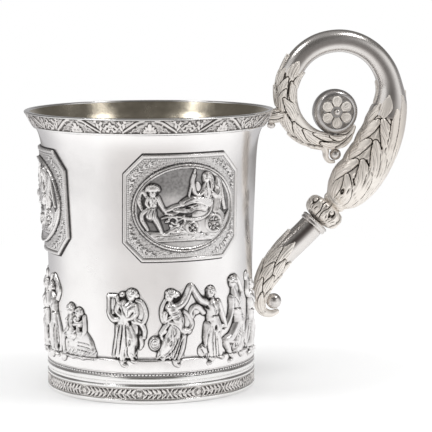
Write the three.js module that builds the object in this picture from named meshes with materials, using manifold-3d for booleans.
// A half-litre silver mug with applied bands, figures, medallions and a cast scroll handle.
// Millimetres, +Z up. The mug's axis is Z, its base stands on z = 0, and the handle points along +X.
import * as THREE from "three";
import { mergeVertices } from "three/addons/utils/BufferGeometryUtils.js";
import Module from "manifold-3d";

const wasm = await Module();
wasm.setup();

// Driving dimensions of the drum.
const bodyHeight = 105; // base to lip
const waistRadius = 38.8; // outside of the wall, up to where it starts to widen
const wallThickness = 1.2;
const taperStart = 48; // height
const taperSlope = 0.041;
const flareGain = 2.6; // how far the wall flares out just under the lip band
const flareLength = 3.8;
const lipSlope = 0.55; // outward run of the lip's cone for each millimetre of rise
const baseThickness = 1.6;
const baseChamfer = 0.3;

// Heights and thicknesses of the applied rings, from the base up.
const footWireHeight = 1.4;
const footBandHeight = 4.3;
const footBeadHeight = 0.8;
const mouldingHeight = 3.2;
const dotWireHeight = 1.7;
const groundHeight = 4.5;
const ringThickness = 0.7;
const lipBandHeight = 5.1;
const lipBandThickness = 0.95;
const lipWireHeight = 0.5;
const lipBandWireHeight = 0.75;

// Medallions: an octagonal plaque with an oval scene.
const plaqueWidth = 46.8;
const plaqueHeight = 39.5;
const plaqueCorner = 7.1; // cut off each corner, both ways
const plaqueLift = 0.672; // its middle's height, as a share of the way from the ground strip to the lip band
const plaqueThickness = 0.75;
const plaqueFrameRise = 0.4; // the frame stands this far over the field
const plaqueFrameWidth = 1.3;
const ovalHalfWidth = 19.2; // to the middle of the oval moulding
const ovalHalfHeight = 15.9;
const ovalWireRadius = 0.8;
const recessDepth = 0.3;
const tallestPose = 32.4; // height at which the frieze's poses are drawn
const figureClearance = 6.9; // from the tallest figure up to the plaques
const medallionAngles = { left: 180, front: -80, back: 80 }; // degrees round from the handle

// The handle. Points are [along X, along Z] from the middle of the scroll's eye.
const eyeReach = 24.8; // from the lip's outer edge to the eye's middle
const eyeDrop = 2.3; // the eye's middle below the lip
const eyeRadius = 8.7;
const eyeHalfThickness = 4.2;
const tubeFlatness = 0.94; // thickness across the handle for each unit in its plane
const gripFlatness = 0.82;
const leafThickness = 0.5;
const leafLap = 0.7; // clear space between a leaf and the tube that it laps over
const rosetteRadius = 6;
const rosetteHeight = 0.9;
const petalCount = 6;
const budBallRadius = 2.1;
const endBallRadius = 3.05;
const knopRadius = 7.6;
const knopHalfLength = 4.3;
const knopLobes = 8;
const collarRadius = 5.8;
const collarLength = 2.1;
const stemRadius = 4.75;
const footholdDrop = 68.7; // from the eye's middle down to where the handle's lower end meets the wall

// Clearances.
const seam = 0.05; // between rings that share the mug's axis
const seat = 0.3; // between a casting and what it is soldered to

// Fineness of the facets.
const ringSides = 28;
const tubeSides = 10;
const handleGap = 0.06; // between the sweep's pieces, in steps of its points
const leafSides = 10; // two for each leaf round a sleeve
const finest = 0.25; // detail of a casting that is smaller than this is dropped
const longestChord = 8.4; // across the wall, so that wrapped work follows its curve
const sideways = new THREE.Vector3(0, 1, 0);

const silver = { color: 0xd9d6d2, roughness: 0.28, metalness: 1 };
const finishes = {
  drum: new THREE.MeshStandardMaterial({ ...silver, roughness: 0.2 }),
  inside: new THREE.MeshStandardMaterial({ color: 0xb0a27e, roughness: 0.25, metalness: 1 }),
  relief: new THREE.MeshStandardMaterial({ ...silver, color: 0xc8c3bd, roughness: 0.42 }),
  handle: new THREE.MeshStandardMaterial({ ...silver, color: 0xc4bcb2, roughness: 0.3 }),
};

const mug = new THREE.Group();

// Adds a named piece to the mug.
function add(name, geometry, finish) {
  const mesh = new THREE.Mesh(geometry, finishes[finish]);
  mesh.name = name;
  mug.add(mesh);
}

// Six times the volume inside a closed surface, negative when its faces point inwards.
function signedVolume(places, faces) {
  const corner = (i) => new THREE.Vector3().fromArray(places, faces[i] * 3);
  let sum = 0;
  for (let i = 0; i < faces.length; i += 3) {
    sum += corner(i).dot(corner(i + 1).cross(corner(i + 2)));
  }
  return sum;
}

// A closed geometry as a solid, with its faces turned outwards.
function solid(geometry) {
  const bare = geometry.clone();
  bare.deleteAttribute("normal");
  bare.deleteAttribute("uv");
  const merged = mergeVertices(bare, 1e-4);
  const vertProperties = merged.attributes.position.array;
  const triVerts = new Uint32Array(merged.index.array);
  if (signedVolume(vertProperties, triVerts) < 0) {
    for (let i = 0; i < triVerts.length; i += 3) {
      [triVerts[i + 1], triVerts[i + 2]] = [triVerts[i + 2], triVerts[i + 1]];
    }
  }
  return new wasm.Manifold(new wasm.Mesh({ numProp: 3, vertProperties, triVerts }));
}

// A solid as a geometry.
function shape(made) {
  const mesh = made.getMesh();
  const geometry = new THREE.BufferGeometry();
  const places = new Float32Array(mesh.numVert * 3);
  for (let i = 0; i < mesh.numVert; i++) {
    places.set(mesh.vertProperties.subarray(i * mesh.numProp, i * mesh.numProp + 3), i * 3);
  }
  geometry.setAttribute("position", new THREE.BufferAttribute(places, 3));
  geometry.setIndex(new THREE.BufferAttribute(mesh.triVerts, 1));
  geometry.computeVertexNormals();
  return geometry;
}

// Joined solids, less the slivers that their crossings leave.
function join(solids) {
  return solids.reduce((whole, next) => whole.add(next)).simplify(finest);
}

// A profile of [radius, height] points turned about the mug's axis.
function turned(profile) {
  const points = [...profile, profile[0]].map(([r, z]) => new THREE.Vector2(r, z));
  const geometry = new THREE.LatheGeometry(points, ringSides);
  geometry.rotateX(Math.PI / 2);
  return shape(solid(geometry));
}

// A skin over rings of points, closed at both ends, or into a loop.
function loft(rings, looped = false) {
  const count = rings[0].length;
  const points = rings.flat();
  const faces = [];
  const spans = looped ? rings.length : rings.length - 1;
  for (let k = 0; k < spans; k++) {
    for (let i = 0; i < count; i++) {
      const a = k * count + i;
      const b = k * count + ((i + 1) % count);
      const c = ((k + 1) % rings.length) * count + i;
      const d = ((k + 1) % rings.length) * count + ((i + 1) % count);
      faces.push(a, b, d, a, d, c);
    }
  }
  const last = (rings.length - 1) * count;
  for (let i = 1; i < count - 1 && !looped; i++) {
    faces.push(0, i + 1, i, last, last + i, last + i + 1);
  }
  return new THREE.BufferGeometry().setFromPoints(points).setIndex(faces);
}

// The drum

// Outside radius of the wall at a height.
const lipBandFoot = bodyHeight - lipWireHeight - lipBandHeight;
function wallRadius(z) {
  const under = Math.min(z, lipBandFoot);
  const taper = taperSlope * Math.max(0, under - taperStart);
  const flared = flareGain * Math.exp((under - lipBandFoot) / flareLength);
  return waistRadius + taper + flared + lipSlope * Math.max(0, z - lipBandFoot);
}

const wallTop = bodyHeight - lipWireHeight - seam;
const lipRadius = wallRadius(wallTop) + seam + lipBandThickness;

function bodyWall() {
  const wireFoot = lipBandFoot - seam - lipBandWireHeight;
  const rows = (belows) => [
    baseThickness + seam,
    taperStart,
    ...belows.map((below) => lipBandFoot - below),
    wallTop,
  ];
  const outside = rows([12, 5, 2.6, lipBandFoot - wireFoot, 0]).map((z) => [wallRadius(z), z]);
  const inside = rows([9, 2.6]).map((z) => [wallRadius(z) - wallThickness, z]);
  return turned([...outside, ...inside.reverse()]);
}

function basePlate() {
  return turned([
    [0, 0],
    [waistRadius - baseChamfer, 0],
    [waistRadius, baseChamfer],
    [waistRadius, baseThickness],
    [0, baseThickness],
  ]);
}

// A ring soldered round the wall between two heights. Its face is a list of [rise share, extra thickness].
function appliedRing(low, high, face) {
  const back = (z) => Math.max(wallRadius(z), waistRadius) + seam;
  const front = face.map(([share, extra]) => {
    const z = low + share * (high - low);
    return [back(z) + ringThickness + extra, z];
  });
  return turned([[back(low), low], ...front, [back(high), high]]);
}

// Heights of the rings, stacked from the base.
const footBandLow = footWireHeight + seam;
const footBeadLow = footBandLow + footBandHeight + seam;
const mouldingLow = footBeadLow + footBeadHeight + seam;
const dotWireLow = mouldingLow + mouldingHeight + seam;
const groundLow = dotWireLow + dotWireHeight + seam;
const groundTop = groundLow + groundHeight;
const plaqueMiddle = groundTop + plaqueLift * (lipBandFoot - groundTop);

const round = [[0, -0.25], [0.5, 0.1], [1, -0.25]];
const flat = [[0, 0], [1, 0]];
const hollowAndRound = [[0, 0], [0.12, -0.35], [0.42, -0.35], [0.5, 0], [0.75, 0.15], [1, -0.15]];

add("base_plate", basePlate(), "drum");
add("body_wall", bodyWall(), "drum");
add("foot_wire", appliedRing(0, footWireHeight, round), "relief");
add("foot_band", appliedRing(footBandLow, footBandLow + footBandHeight, flat), "relief");
add("foot_bead", appliedRing(footBeadLow, footBeadLow + footBeadHeight, round), "drum");
add("foot_moulding", appliedRing(mouldingLow, mouldingLow + mouldingHeight, hollowAndRound), "drum");
add("dot_wire", appliedRing(dotWireLow, dotWireLow + dotWireHeight, round), "relief");
add("frieze_ground", appliedRing(groundLow, groundTop, flat), "relief");

function lipBand() {
  const low = lipBandFoot;
  const high = wallTop;
  return turned([
    [wallRadius(low) + seam, low],
    [wallRadius(low) + seam + lipBandThickness, low],
    [lipRadius, high],
    [wallRadius(high) + seam, high],
  ]);
}

function lipBandWire() {
  const high = lipBandFoot - seam;
  const low = high - lipBandWireHeight;
  const middle = (low + high) / 2;
  return turned([
    [wallRadius(low) + seam, low],
    [wallRadius(middle) + lipBandWireHeight, middle],
    [wallRadius(high) + lipBandWireHeight / 2, high],
    [wallRadius(high) + seam, high],
  ]);
}

function lipWire() {
  const low = wallTop + seam;
  const inner = wallRadius(wallTop) - wallThickness;
  const edge = lipWireHeight / 3;
  return turned([
    [inner, low],
    [lipRadius, low],
    [lipRadius, low + edge],
    [lipRadius - edge, bodyHeight],
    [inner + edge, bodyHeight],
  ]);
}

add("lip_band", lipBand(), "relief");
add("lip_band_wire", lipBandWire(), "drum");
add("lip_wire", lipWire(), "drum");

// Relief work: modelled flat, as [along, up, out], then wrapped round the wall

// Halves the sides of a triangle that are too long to follow the wall's curve.
function halved(points, middles, [a, b, c]) {
  for (const [p, q, r] of [[a, b, c], [b, c, a], [c, a, b]]) {
    if (Math.abs(points[p].x - points[q].x) > longestChord) {
      const side = `${Math.min(p, q)} ${Math.max(p, q)}`;
      const middle = points[p].clone().lerp(points[q], 0.5);
      if (!middles.has(side)) middles.set(side, points.push(middle) - 1);
      const m = middles.get(side);
      return [...halved(points, middles, [p, m, r]), ...halved(points, middles, [m, q, r])];
    }
  }
  return [[a, b, c]];
}

// Wraps a flat relief round the wall, its middle at an angle in degrees.
function wrapped(made, angle) {
  const flatwork = shape(made);
  const { position } = flatwork.attributes;
  const point = (i) => new THREE.Vector3().fromBufferAttribute(position, i);
  const points = Array.from({ length: position.count }, (_, i) => point(i));
  const middles = new Map();
  const faces = [];
  for (let i = 0; i < flatwork.index.count; i += 3) {
    faces.push(...halved(points, middles, [0, 1, 2].map((k) => flatwork.index.getX(i + k))).flat());
  }
  const placed = points.map(({ x, y, z }) => {
    const turn = THREE.MathUtils.degToRad(angle) + x / wallRadius(y);
    const r = wallRadius(y) + z;
    return new THREE.Vector3(r * Math.cos(turn), r * Math.sin(turn), y);
  });
  return shape(solid(new THREE.BufferGeometry().setFromPoints(placed).setIndex(faces)));
}

// A flat-backed tapered limb through [across, up, half width] points, its back `lift` above the wall.
// A stout one has a rounded front, a thin one a ridge.
function limb(points, lift = seat, rise = 0.6) {
  const stout = points.some((p) => p[2] > 1.4);
  const rings = points.map(([x, y, half], k) => {
    const from = points[Math.max(0, k - 1)];
    const to = points[Math.min(points.length - 1, k + 1)];
    const length = Math.hypot(to[0] - from[0], to[1] - from[1]);
    const dx = (to[0] - from[0]) / length;
    const dy = (to[1] - from[1]) / length;
    const at = (side, out) => new THREE.Vector3(x - dy * side * half, y + dx * side * half, lift + out);
    const height = rise + 0.7 * half;
    const shoulder = (side) => at(side * 0.75, height * 0.75);
    const front = stout ? [shoulder(1), at(0, height), shoulder(-1)] : [at(0, height)];
    return [at(-1, 0), at(1, 0), ...front];
  });
  return solid(loft(rings));
}

// A low dome for a head, a bunch of hair or a ball, its back `lift` above the wall.
function dome(x, y, radius, height, lift = seat, sides = 6) {
  const ring = (scale, out) =>
    Array.from({ length: sides }, (_, i) => {
      const t = (i * 2 * Math.PI) / sides;
      const reach = radius * scale;
      return new THREE.Vector3(x + reach * Math.cos(t), y + reach * Math.sin(t), lift + out);
    });
  return solid(loft([ring(0.9, 0), ring(1, height * 0.45), ring(0.5, height)]));
}

// A fluted skirt through [across, up, half width, depth] rows.
function skirt(rows, flutes = 2) {
  const steps = flutes * 2;
  const rings = rows.map(([x, y, half, depth], row) => {
    const front = Array.from({ length: steps + 1 }, (_, i) => {
      const share = i / steps;
      const crown = 0.4 + 0.6 * Math.sin(Math.PI * share);
      const fold = i % 2 ? -0.35 * Math.min(1, row) : 0;
      return new THREE.Vector3(x - half + 2 * half * share, y, seat + depth * crown + fold);
    });
    const back = (side) => new THREE.Vector3(x + side * half, y, seat);
    return [back(0), back(-1), ...front, back(1)];
  });
  return solid(loft(rings));
}

// Room for the frieze's ground strip, cut out of the backs of feet and hems that hang over it.
function groundRoom() {
  const depth = seam + ringThickness + seat;
  const box = new THREE.BoxGeometry(60, groundTop + seat, depth + 5);
  box.translate(0, (groundTop + seat) / 2, depth - (depth + 5) / 2);
  return solid(box);
}

// Poses of the frieze's dancers and players: [across, up] from the figure's standing point.
// A skirt row is [across, up, half width, depth].
const poses = {
  arms_raised: {
    head: [-2.4, 24.6],
    torso: [[-1.2, 21.6, 2], [0, 17.2, 1.7], [0.6, 14.8, 2.1]],
    arms: [
      [[-2.6, 22, 0.9], [-4.4, 26.4, 0.75], [-2.2, 31.4, 0.6]],
      [[0.6, 22.4, 0.9], [3, 26.6, 0.75], [-0.6, 31, 0.6]],
    ],
    skirt: [[0.4, 15.6, 1.9, 1.8], [0.2, 9.4, 3.1, 2], [0.6, 3.6, 3.8, 1.5]],
    feet: [[-1.4, 0.6], [2.2, 1.8]],
    drapes: [[[-0.4, 16.6, 0.8], [-4.2, 11, 1], [-4.8, 6, 0.6]]],
  },
  seated_lyre: {
    head: [-1.1, 20.4],
    torso: [[-0.8, 17.2, 2], [-1.4, 13.6, 1.8], [-1.4, 11, 2.5]],
    arms: [
      [[-2.9, 16.8, 0.9], [-3.1, 13.6, 0.8], [1.6, 13.8, 0.6]],
      [[1, 17, 0.9], [2.4, 15.4, 0.7], [4.2, 16.4, 0.6]],
    ],
    skirt: [[1.2, 11, 4.6, 1.3], [1.6, 7.4, 6.4, 1.5], [2, 2.6, 7.6, 1.2]],
    feet: [[-5.4, 0.8], [-3, 1.4]],
    drapes: [
      [[-1.2, 10.6, 1.4], [-5.4, 8.6, 1.3], [-5.4, 4.4, 0.9], [-5, 1.4, 0.7]],
      [[3.4, 18.4, 0.6], [2.4, 14.4, 0.6], [3.8, 10.6, 0.9], [5.8, 14, 0.6], [6.4, 18, 0.6]],
    ],
  },
  kithara_player: {
    head: [2, 26.8],
    torso: [[1.2, 23.2, 2.1], [0, 19.4, 1.8], [-0.4, 17, 2.1]],
    arms: [
      [[3, 23, 0.9], [1.6, 19.2, 0.8], [-4.6, 21, 0.6]],
      [[-0.8, 23, 0.9], [-3, 19.6, 0.8], [-6, 22, 0.6]],
    ],
    skirt: [[-0.4, 17.6, 2.2, 1.8], [-0.8, 11, 3.6, 2.1], [-1, 3.6, 4.8, 1.6]],
    feet: [[-2, 0.6], [2.2, 1.8]],
    drapes: [
      [[2, 22.6, 0.8], [5.6, 24.4, 0.7], [7, 20.2, 0.8], [5.6, 17, 0.8], [0.6, 18, 0.8]],
      [[1.4, 12.6, 0.9], [5.6, 13.4, 1], [5.6, 9.4, 0.7]],
      [[-6.9, 26.6, 0.6], [-6.8, 20.6, 0.6], [-3.6, 18.6, 0.9], [-3.4, 22.4, 0.6], [-3.6, 26.6, 0.6]],
    ],
  },
  whirling_dancer: {
    head: [-0.8, 26.7],
    torso: [[-0.2, 22.6, 2.1], [0.6, 18.8, 1.8], [0.6, 16.2, 2.2]],
    arms: [
      [[1.6, 22.8, 0.9], [4.3, 24.4, 0.8], [6.3, 29.4, 0.55]],
      [[-2, 22, 0.9], [-3.2, 18.6, 0.8], [-1.2, 16.4, 0.6]],
    ],
    skirt: [[0.6, 16.8, 2.3, 1.8], [-0.8, 10.6, 4, 2.1], [-1.6, 3.4, 5, 1.6]],
    feet: [[1.6, 0.4], [-3.4, 1.8]],
    drapes: [
      [[1.6, 20.4, 0.8], [5.4, 20.6, 0.8], [7.4, 16.4, 0.9], [4.2, 13, 0.8], [1.4, 14.4, 0.8]],
      [[-2, 10, 1], [-6.4, 11.2, 1], [-8, 8.4, 1], [-5, 6.4, 0.9]],
    ],
  },
  leading_dancer: {
    head: [-0.4, 26.6],
    torso: [[0.2, 23, 2.3], [0, 18.8, 1.8], [0.2, 16.4, 2.2]],
    arms: [
      [[-2, 23, 0.9], [-5.4, 24.4, 0.75], [-8.2, 29.2, 0.55]],
      [[2.8, 22.4, 0.9], [4.9, 18.4, 0.75], [6.6, 13.9, 0.55]],
    ],
    skirt: [[0.1, 17, 2.3, 1.8], [0.6, 11, 3.4, 2], [1.2, 3.6, 4.2, 1.6]],
    feet: [[-1, 0.5], [3.8, 1.8]],
    drapes: [
      [[-0.6, 18.6, 0.8], [-5, 21.4, 0.9], [-7.4, 18.4, 0.6]],
      [[-1, 7.6, 0.8], [-4.6, 6.4, 1.3], [-2.6, 3.6, 0.8]],
    ],
  },
  arm_over_head: {
    head: [-1.4, 29.6],
    torso: [[-0.6, 24.4, 2.1], [0.4, 19.8, 1.7], [0.9, 17.2, 2.1]],
    arms: [
      [[0.8, 24.4, 0.9], [3.8, 26.4, 0.75], [1, 31.4, 0.6]],
      [[-2.4, 24, 0.9], [-3.9, 18.8, 0.75], [-5.4, 14.4, 0.55]],
    ],
    skirt: [[1, 17.8, 2.1, 1.8], [0.6, 11, 3.2, 2], [1.6, 3.8, 3.4, 1.5]],
    feet: [[-3.4, 0.4], [2.6, 1.8]],
    drapes: [
      [[0, 12, 1.4], [-5, 8.2, 1.1], [-3.6, 2.2, 0.8]],
      [[1.6, 17, 0.8], [4.6, 11, 0.9], [4.6, 5, 0.7]],
    ],
  },
  tambourine_dancer: {
    head: [0.4, 26.2],
    torso: [[0.4, 22.4, 2], [-0.2, 18.4, 1.7], [0, 15.8, 2.1]],
    arms: [
      [[-1.4, 22.6, 0.9], [-3.4, 24.8, 0.75], [-3.4, 28.8, 0.6]],
      [[2, 22.2, 0.9], [4, 20.2, 0.75], [3.4, 24, 0.6]],
    ],
    skirt: [[0, 16.4, 2.1, 1.8], [0.6, 10, 3.2, 2], [0.2, 3.6, 4, 1.5]],
    feet: [[-1.8, 0.6], [2.4, 1.8]],
    drapes: [
      [[-0.4, 14.6, 0.8], [-4, 10, 0.9], [-4.4, 5.4, 0.6]],
      [[-3.4, 28, 0.6], [-4.4, 30.2, 0.9], [-2.4, 31.6, 0.9]],
    ],
  },
};

// The frieze: angle round from the handle, pose, and -1 where the figure is turned about.
const frieze = [
  [-164.4, "arms_raised", 1],
  [-144.2, "seated_lyre", 1],
  [-111.1, "kithara_player", 1],
  [-87.1, "whirling_dancer", 1],
  [-64.5, "leading_dancer", 1],
  [-45.5, "arm_over_head", 1],
  [-27.8, "tambourine_dancer", 1],
  [27.8, "tambourine_dancer", -1],
  [45.5, "arm_over_head", -1],
  [64.5, "leading_dancer", -1],
  [87.1, "whirling_dancer", -1],
  [111.1, "kithara_player", -1],
  [144.2, "seated_lyre", -1],
  [164.4, "arms_raised", -1],
  [180, "tambourine_dancer", 1],
];
const standing = groundTop - 3.1; // feet hang this low over the ground strip
const friezeRoom = plaqueMiddle - plaqueHeight / 2 - figureClearance - standing;
const headRadius = 1.7;

function figure(pose, way) {
  const stretch = friezeRoom / tallestPose;
  const placed = (points) => points.map(([x, y, ...rest]) => [way * x, y * stretch + standing, ...rest]);
  const [head] = placed([pose.head]);
  const torso = placed(pose.torso);
  const [chestX, chestY] = torso[0];
  const arm = ([[x, y, half], ...rest]) => {
    const root = [(x + chestX) / 2, (y + chestY) / 2 - 0.4, half + 0.2];
    return limb([root, ...rest]);
  };
  return join([
    dome(...head, headRadius, 2),
    limb([[head[0], head[1] - 0.8, 0.8], [chestX, chestY + 1.4, 1], ...torso]),
    skirt(placed(pose.skirt)),
    ...pose.arms.map((points) => arm(placed(points))),
    ...pose.drapes.map((drape) => limb(placed(drape))),
    ...pose.feet.map(([x, y]) => limb(placed([[x + 0.3, y + 3.4, 1], [x - 0.3, y, 0.8]]), seat, 1)),
  ]).subtract(groundRoom());
}

frieze.forEach(([angle, pose, way], i) => {
  const name = `figure_${String(i + 1).padStart(2, "0")}_${pose}`;
  add(name, wrapped(figure(poses[pose], way), angle), "relief");
});

// Medallions

// Points round the plaque's outline, set in by `inset` and scaled, with every corner on a point.
function octagon(inset, scale = 1) {
  const w = plaqueWidth / 2 - inset;
  const h = plaqueHeight / 2 - inset;
  const c = plaqueCorner - inset * 0.586; // keeps the cut corners' frame as wide as the sides'
  const upper = [[w, h - c], [w - c, h], [c - w, h], [-w, h - c]];
  const corners = [...upper, ...upper.map(([x, y]) => [-x, -y])];
  const steps = [1, 5, 1, 2, 1, 5, 1, 2];
  return corners.flatMap(([x, y], k) => {
    const [nx, ny] = corners[(k + 1) % corners.length];
    return Array.from({ length: steps[k] }, (_, i) => {
      const share = i / steps[k];
      return [(x + (nx - x) * share) * scale, (y + (ny - y) * share) * scale];
    });
  });
}

// The oval's points in line with the plaque's, scaled about its middle and grown by `grow`.
function oval(grow, scale = 1) {
  const a = (ovalHalfWidth + grow) * scale;
  const b = (ovalHalfHeight + grow) * scale;
  return octagon(0).map(([x, y]) => {
    const t = Math.atan2(y / b, x / a);
    return [a * Math.cos(t), b * Math.sin(t)];
  });
}

function raised(outline, out) {
  return outline.map(([x, y]) => new THREE.Vector3(x, y + plaqueMiddle, out));
}

function plaque() {
  const face = seat + plaqueThickness;
  const crest = face + plaqueFrameRise;
  const floor = face - recessDepth;
  return solid(
    loft([
      raised(octagon(0, 0.3), seat),
      raised(octagon(0, 0.65), seat),
      raised(octagon(0), seat),
      raised(octagon(0), crest),
      raised(octagon(plaqueFrameWidth), crest),
      raised(octagon(plaqueFrameWidth + 0.4), face),
      raised(oval(-ovalWireRadius), face),
      raised(oval(-ovalWireRadius - 0.3), floor),
      raised(oval(-ovalWireRadius, 0.65), floor),
      raised(oval(-ovalWireRadius, 0.3), floor),
    ]),
  );
}

function ovalMoulding() {
  const foot = plaqueThickness + 2 * seat;
  const w = ovalWireRadius;
  const crest = raised(oval(0), foot + w * 1.2);
  return solid(loft([raised(oval(w), foot), crest, raised(oval(-w * 0.9), foot)], true));
}

// The medallion's scene, as [across, up] from its middle: a winged boy leads a car with a seated rider.
const sceneLift = seat + plaqueThickness - recessDepth + seat;

function sceneLimb(points) {
  return limb(points.map(([x, y, half]) => [x, y + plaqueMiddle, half]), sceneLift, 0.3);
}

// A wheel with a raised tyre and a domed hub.
function wheel(x, y, radius) {
  const ring = ([reach, out]) =>
    Array.from({ length: 8 }, (_, i) => {
      const t = ((i + 0.5) * Math.PI) / 4;
      const hub = y + plaqueMiddle;
      return new THREE.Vector3(x + reach * Math.cos(t), hub + reach * Math.sin(t), sceneLift + out);
    });
  return solid(loft([[radius + 0.4, 0], [radius, 0.9], [1, 0.4], [0.5, 1]].map(ring)));
}

function boy() {
  return join([
    dome(-12, 6.8 + plaqueMiddle, 1.8, 1.4, sceneLift),
    sceneLimb([[-12, 6.4, 0.8], [-12.1, 4.9, 1.4], [-12.4, 1.6, 1.7], [-12.6, -2.6, 2]]),
    sceneLimb([[-13, -1.6, 1.2], [-14.4, -4.8, 0.8], [-13.4, -8.2, 0.6]]),
    sceneLimb([[-12, -1.8, 1.2], [-10, -5, 0.8], [-8.4, -8.8, 0.6]]),
    sceneLimb([[-12.2, 4.2, 0.9], [-9.8, 1.2, 0.7], [-8.2, -1.8, 0.5]]),
    sceneLimb([[-12.8, 3.6, 0.8], [-15.6, 5.4, 1.1], [-16.2, 1, 0.4]]),
  ]);
}

function car() {
  return join([
    dome(8.3, 9.2 + plaqueMiddle, 1.6, 1.4, sceneLift),
    sceneLimb([[8.2, 8.6, 0.8], [8, 6.8, 1.5], [7, 3.6, 1.8], [7.6, -0.6, 2.4]]),
    sceneLimb([[7, 0.4, 1.6], [1.4, 1.2, 1.5], [-3, -2.6, 0.9], [-6, -4.8, 0.5]]),
    sceneLimb([[7.4, 5.8, 0.8], [4.2, 4.4, 0.6], [3, 7.8, 0.4]]),
    sceneLimb([[8.4, 6, 0.8], [11.6, 3.4, 0.9], [11.6, -2.6, 1.2]]),
    sceneLimb([[-3.4, -5.4, 0.6], [2, -4.6, 1.3], [8, -3, 1.3], [13.2, -1, 0.6], [13.8, 4.4, 0.5]]),
    wheel(2.3, -7.7, 2.2),
    wheel(10.8, -6.4, 3),
  ]);
}

for (const [side, angle] of Object.entries(medallionAngles)) {
  add(`medallion_${side}_plaque`, wrapped(plaque(), angle), "relief");
  add(`medallion_${side}_oval_moulding`, wrapped(ovalMoulding(), angle), "drum");
  add(`medallion_${side}_boy`, wrapped(boy(), angle), "relief");
  add(`medallion_${side}_car`, wrapped(car(), angle), "relief");
}

// The handle, in the plane of X and Z

const eye = new THREE.Vector2(lipRadius + eyeReach, bodyHeight - eyeDrop);

// A smooth path through [x, z, radius] points.
function curveThrough(points) {
  return new THREE.CatmullRomCurve3(points.map(([x, z, r]) => new THREE.Vector3(x, z, r)));
}

// Stations of a path between two of its points, counted along it: middle, radius and heading.
function stretch(points, first, last, steps) {
  const curve = curveThrough(points);
  return Array.from({ length: steps + 1 }, (_, i) => {
    const u = (first + ((last - first) * i) / steps) / (points.length - 1);
    const { x, y, z: radius } = curve.getPoint(u);
    const heading = curve.getTangent(u);
    const along = new THREE.Vector3(heading.x, 0, heading.y).normalize();
    return { middle: new THREE.Vector3(x, 0, y), radius, along };
  });
}

const stations = (points, steps) => stretch(points, 0, points.length - 1, steps);

// A ring round a station: its thickness across the handle's plane is scaled by flatness.
function rodRing({ middle, radius, along }, flatness, grow, sides, ahead = () => 0) {
  const across = new THREE.Vector3(-along.z, 0, along.x);
  return Array.from({ length: sides }, (_, i) => {
    const t = (i * 2 * Math.PI) / sides;
    return middle
      .clone()
      .addScaledVector(along, ahead(i))
      .addScaledVector(across, (radius + grow) * Math.cos(t))
      .addScaledVector(sideways, (radius * flatness + grow) * Math.sin(t));
  });
}

function rod(path, flatness, grow = 0, sides = tubeSides) {
  return solid(loft(path.map((station) => rodRing(station, flatness, grow, sides))));
}

// A rod whose first end is sheathed in pointed leaves that lap over the end of its neighbour.
// `way` is 1 where the neighbour lies ahead of the first station and -1 where it lies behind.
function leafedRod(path, flatness, reach, way) {
  const leaf = (grow, ahead) => rodRing(path[0], flatness, grow, leafSides, (i) => way * ahead(i));
  const tips = (i) => (i % 2 ? reach : reach * 0.15);
  return solid(
    loft([
      leaf(-1, () => 0),
      leaf(leafLap, () => 0),
      leaf(leafLap, tips),
      leaf(leafLap + leafThickness, tips),
      leaf(leafThickness, () => -0.8),
      ...path.slice(1).map((station) => rodRing(station, flatness, 0, leafSides)),
    ]),
  );
}

// [x, z, radius] points given from the eye's middle, in the mug's frame.
const fromEye = (points) => points.map(([x, z, r]) => [eye.x + x, eye.y + z, r]);

// The scroll's one long sweep, from the end coiled round the eye to the grip's blunt tip.
const scrollPoints = fromEye([
  [7.8, -5.2, 1.2], [5.2, -9.2, 2.2], [0.6, -11.6, 3.1], [-5.6, -10.9, 3.6], [-11.8, -8.2, 4.2],
  [-16.6, -3, 4.5], [-18.9, 3.4, 4.6], [-19, 9.6, 4.6], [-17.1, 15.6, 4.45], [-12.4, 21.9, 4.4],
  [-6, 25.8, 4.45], [1.7, 27.1, 4.45], [8.8, 25.7, 4.45], [15, 21.9, 4.5], [19.5, 16.1, 4.75],
  [21.7, 9.6, 5.2], [21.9, 2.4, 6.7], [19.8, -6.2, 8.1], [16.2, -14.8, 8.9], [11.8, -22.4, 9.3],
  [7, -28, 9], [3, -32, 7.6], [0.4, -34.6, 5],
]);
const tipPoint = scrollPoints.length - 1;
// The leaf-wrapped stretch runs under the eye and up its far side.
const sleevePath = stretch(scrollPoints, 8 - handleGap, 0, 14);
const tubePath = stretch(scrollPoints, 8, 15, 13); // plain, over the top
const gripPath = stretch(scrollPoints, 15 + handleGap, tipPoint, 12); // acanthus, down to the knop

function eyeDrum(grow) {
  const r = eyeRadius + grow;
  const h = eyeHalfThickness + grow;
  const face = r - 1.6;
  const edge = [[r - 0.4, -h * 0.6], [r, 0], [r - 0.4, h * 0.6]];
  const points = [[0, -h], [face, -h], ...edge, [face, h], [0, h]];
  const geometry = new THREE.LatheGeometry(points.map(([x, y]) => new THREE.Vector2(x, y)), 20);
  geometry.translate(eye.x, 0, eye.y);
  return solid(geometry);
}

const tube = rod(tubePath, tubeFlatness);
const bandRoom = solid(
  turned([
    [0, lipBandFoot - 4],
    [wallRadius(lipBandFoot - 4) + seat, lipBandFoot - 4],
    [wallRadius(lipBandFoot) + lipBandThickness + seat, lipBandFoot - lipBandWireHeight],
    [lipRadius + seat * 2, bodyHeight + seat],
    [0, bodyHeight + seat],
  ]),
);
const sleeve = leafedRod(sleevePath, tubeFlatness, 3.4, 1).subtract(eyeDrum(seat));
const grip = leafedRod(gripPath, gripFlatness, 4.4, -1);

add("scroll_tube", shape(tube), "handle");
add("scroll_leaf_sleeve", shape(sleeve), "handle");
add("acanthus_grip", shape(grip), "handle");
add("scroll_eye", shape(eyeDrum(0)), "handle");

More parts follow.
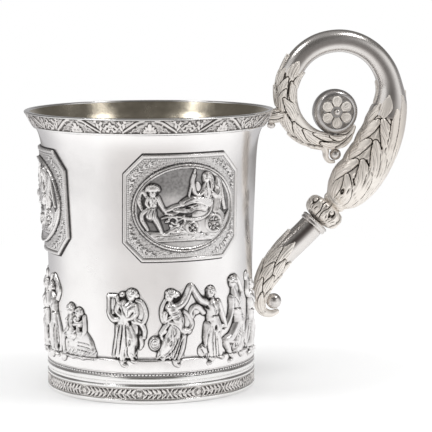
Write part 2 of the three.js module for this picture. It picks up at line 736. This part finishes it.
// A six-petalled rosette on each face of the eye, held by a round-headed pin.
function rosette(side) {
  const foot = side * (eyeHalfThickness + seat);
  const head = side * (eyeHalfThickness + seat + rosetteHeight);
  const outline = (scale, y) =>
    Array.from({ length: petalCount * 4 }, (_, i) => {
      const t = (i * 2 * Math.PI) / (petalCount * 4);
      const r = rosetteRadius * scale * (0.86 + 0.14 * Math.cos(petalCount * t));
      return new THREE.Vector3(eye.x + r * Math.cos(t), y, eye.y + r * Math.sin(t));
    });
  return shape(solid(loft([outline(1, foot), outline(0.94, head), outline(0.35, head - side * 0.4)])));
}

function rosettePin(side) {
  const geometry = new THREE.SphereGeometry(1.3, 8, 5);
  geometry.translate(eye.x, side * (eyeHalfThickness + rosetteHeight + seat * 2 + 1.05), eye.y);
  return geometry;
}

for (const [place, side] of [["front", -1], ["back", 1]]) {
  add(`rosette_${place}`, rosette(side), "handle");
  add(`rosette_pin_${place}`, rosettePin(side), "handle");
}

// The bud under the scroll: a curled leaf that holds a ball.
const budPath = stations(
  fromEye([[-2.4, -14.6, 1.1], [-3.4, -17.2, 0.9], [-2, -19.2, 0.8], [0.4, -19.4, 0.5]]),
  5,
);
const sleeveRoom = rod(sleevePath, tubeFlatness, seat);
add("bud_leaf", shape(rod(budPath, 2.2, 0, 6).subtract(sleeveRoom)), "handle");
const budBall = new THREE.SphereGeometry(budBallRadius, 8, 6);
budBall.translate(eye.x + 0.3, 0, eye.y - 16.4);
add("bud_ball", shape(solid(budBall).subtract(rod(budPath, 2.2, seat, 6)).subtract(sleeveRoom)), "handle");

// Knop, collar and stem run in a line from the grip's tip down to the wall.
const knopMiddle = new THREE.Vector2(eye.x - 4.4, eye.y - 38.9);
const footholdHeight = eye.y - footholdDrop;
const foothold = new THREE.Vector2(wallRadius(footholdHeight) + 3.8, footholdHeight);
const knopAxis = new THREE.Vector2(-0.68, -0.73);

// A profile of [along, radius] points turned about the knop's axis, with lobes round it.
function turnedOnAxis(middle, profile, lobes = 0, sides = 24) {
  const along = new THREE.Vector3(knopAxis.x, 0, knopAxis.y);
  const across = new THREE.Vector3(-knopAxis.y, 0, knopAxis.x);
  const rings = profile.map(([ahead, radius]) =>
    Array.from({ length: sides }, (_, i) => {
      const t = (i * 2 * Math.PI) / sides;
      const r = radius * (lobes ? 1 - 0.09 * (1 - Math.abs(Math.cos((lobes * t) / 2))) : 1);
      return new THREE.Vector3(middle.x, 0, middle.y)
        .addScaledVector(along, ahead)
        .addScaledVector(across, r * Math.cos(t))
        .addScaledVector(sideways, r * Math.sin(t));
    }),
  );
  return solid(loft(rings));
}

const gripRoom = rod(gripPath, gripFlatness, seat);
const knopProfile = [-0.98, -0.75, -0.2, 0.4, 0.8, 1].map((share) => [
  share * knopHalfLength,
  knopRadius * Math.sqrt(1 - 0.62 * share * share),
]);
const knop = turnedOnAxis(knopMiddle, knopProfile, knopLobes).subtract(gripRoom);
add("knop", shape(knop), "handle");

const collarMiddle = knopMiddle.clone().addScaledVector(knopAxis, knopHalfLength + seat + collarLength / 2);
const collarHalf = collarLength / 2;
const collarProfile = [
  [-collarHalf, collarRadius - 0.4],
  [-collarHalf / 2, collarRadius],
  [collarHalf / 2, collarRadius],
  [collarHalf, collarRadius - 0.4],
];
add("collar", shape(turnedOnAxis(collarMiddle, collarProfile, 0, 16)), "handle");

// The stem bends from the collar's line to the wall.
const stemStart = collarMiddle.clone().addScaledVector(knopAxis, collarHalf + 2 * seat);
const stemDrop = new THREE.Vector2().subVectors(foothold, stemStart);
const stemPoint = (share, bulge, r) => [
  stemStart.x + stemDrop.x * share - bulge * stemDrop.y / stemDrop.length(),
  stemStart.y + stemDrop.y * share + bulge * stemDrop.x / stemDrop.length(),
  r,
];
const stemPath = stations(
  [
    [stemStart.x, stemStart.y, stemRadius],
    stemPoint(0.12, -0.4, stemRadius),
    stemPoint(0.3, -1.2, stemRadius),
  ],
  4,
);
const lowerPath = stations(
  [
    stemPoint(0.32, -1.28, stemRadius + 0.1),
    stemPoint(0.5, -2, stemRadius),
    stemPoint(0.75, -2, stemRadius - 0.3),
    [foothold.x, foothold.y, 3.4],
    [foothold.x - 0.3, foothold.y - 4.6, 2.5],
    [foothold.x + 0.9, foothold.y - 8, 1.7],
    [foothold.x + 3.9, foothold.y - 9.2, 1.3],
    [foothold.x + 7, foothold.y - 8.2, 0.9],
  ],
  10,
);
const stem = rod(stemPath, tubeFlatness);
const endBallMiddle = [foothold.x + 5.4, foothold.y - 4.2];
const endBallAt = (grow) => {
  const geometry = new THREE.SphereGeometry(endBallRadius + grow, 10, 7);
  geometry.translate(endBallMiddle[0], 0, endBallMiddle[1]);
  return solid(geometry);
};
const lower = leafedRod(lowerPath, tubeFlatness, 3, -1).subtract(endBallAt(seat));
add("stem", shape(stem), "handle");
add("lower_leaf_sleeve", shape(lower), "handle");
add("end_ball", shape(endBallAt(0)), "handle");

// The fluted bracket that carries the scroll on the lip band, with a bead under it.
function bracket() {
  const low = lipBandFoot - 0.6;
  const high = bodyHeight - 0.9;
  const inner = lipRadius - 2.2;
  const outer = eye.x - 18.6;
  const ring = (x, reach, squeeze) => {
    const flutes = 6;
    const outline = [];
    for (let i = 0; i <= flutes; i++) {
      const share = i / flutes;
      const z = high + (low - high) * share * squeeze;
      outline.push(new THREE.Vector3(x, -reach - (i % 2 ? 0 : 0.35), z));
    }
    for (let i = flutes; i >= 0; i--) {
      const share = i / flutes;
      const z = high + (low - high) * share * squeeze;
      outline.push(new THREE.Vector3(x, reach + (i % 2 ? 0 : 0.35), z));
    }
    return outline;
  };
  return solid(loft([ring(inner, 4.6, 1), ring((inner + outer) / 2, 3, 0.95), ring(outer, 3.4, 1.1)]))
    .subtract(bandRoom)
    .subtract(sleeveRoom);
}
add("rim_bracket", shape(bracket()), "handle");
const bead = new THREE.SphereGeometry(1, 8, 5);
bead.scale(1.65, 1.65, 0.95);
bead.translate(lipRadius - 0.2, 0, lipBandFoot - 0.6 - seat - 0.95);
add("bracket_bead", shape(solid(bead).subtract(bandRoom)), "handle");

export default mug;
